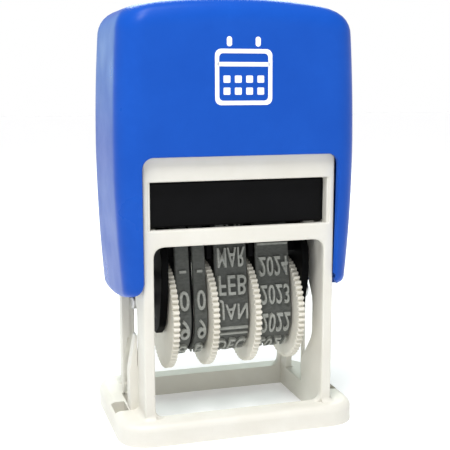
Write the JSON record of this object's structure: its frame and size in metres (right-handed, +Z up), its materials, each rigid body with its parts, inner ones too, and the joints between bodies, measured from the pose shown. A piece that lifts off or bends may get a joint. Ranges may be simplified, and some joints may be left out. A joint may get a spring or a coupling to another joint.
{
  "type": "self-inking date stamp",
  "caption": "Small self-inking date stamp: a sprung cap turns a carriage of rubber date bands from the ink pad to the paper; thumb wheels set the date.",
  "frame": {"origin": "centre of the base's flat underside, where the stamp stands on the paper", "axes": "+Z up, along the way the cap moves; +X to the right, along the wheel axle; -Y to the front, the side from which the date reads"},
  "size_m": [0.0452, 0.0308, 0.0783],
  "materials": {
    "frame_plastic": "white moulded plastic, satin",
    "cap_plastic": "bright blue moulded plastic, soft gloss",
    "tray_plastic": "near-black moulded plastic, fine grain",
    "pad_felt": "ink-soaked felt",
    "carriage_plastic": "black moulded plastic",
    "wheel_plastic": "ivory moulded plastic",
    "band_rubber": "grey-black rubber, matt, raised type",
    "pin_steel": "bright steel",
    "spring_steel": "drawn spring wire"
  },
  "bodies": {
    "frame": {"base_frame": "frame_plastic", "return_spring": "spring_steel"},
    "cap": {"cap_shell": "cap_plastic", "pivot_pin_left": "pin_steel", "pivot_pin_right": "pin_steel"},
    "cartridge": {"ink_tray": "tray_plastic", "ink_pad": "pad_felt"},
    "carriage": {"cheek_left": "carriage_plastic", "cheek_right": "carriage_plastic", "cam_pin_left": "pin_steel", "cam_pin_right": "pin_steel", "platen_bridge": "carriage_plastic", "day_divider": "carriage_plastic", "wheel_axle": "pin_steel", "day_tens_band": "band_rubber", "day_units_band": "band_rubber", "month_band": "band_rubber", "year_band": "band_rubber"},
    "day_tens_dial": {"day_tens_wheel": "wheel_plastic"},
    "day_units_dial": {"day_units_wheel": "wheel_plastic"},
    "month_dial": {"month_wheel": "wheel_plastic"},
    "year_dial": {"year_wheel": "wheel_plastic"}
  },
  "joints": [
    {"name": "cap_press", "type": "slide", "parent": "frame", "child": "cap", "axis": [0, 0, 1], "range_m": [-0.0163, 0], "stiffness_N_per_m": 600, "springref_m": 0.01, "deforming": ["return_spring"]},
    {"name": "carriage_flip", "type": "hinge", "parent": "cap", "child": "carriage", "pos_m": [0, 0, 0.0272], "axis": [1, 0, 0], "range_deg": [-180, 0]},
    {"name": "cartridge_slide", "type": "slide", "parent": "frame", "child": "cartridge", "axis": [0, -1, 0], "range_m": [0, 0.026]},
    {"name": "day_tens_spin", "type": "hinge", "parent": "carriage", "child": "day_tens_dial", "pos_m": [-0.0114, 0, 0.02], "axis": [1, 0, 0], "continuous": true},
    {"name": "day_units_spin", "type": "hinge", "parent": "carriage", "child": "day_units_dial", "pos_m": [-0.0039, 0, 0.02], "axis": [1, 0, 0], "continuous": true},
    {"name": "month_spin", "type": "hinge", "parent": "carriage", "child": "month_dial", "pos_m": [0.0043, 0, 0.02], "axis": [1, 0, 0], "continuous": true},
    {"name": "year_spin", "type": "hinge", "parent": "carriage", "child": "year_dial", "pos_m": [0.0128, 0, 0.02], "axis": [1, 0, 0], "continuous": true}
  ],
  "couplings": [
    {"joint": "carriage_flip", "follows": "cap_press", "rad_per_m": 192.74}
  ]
}
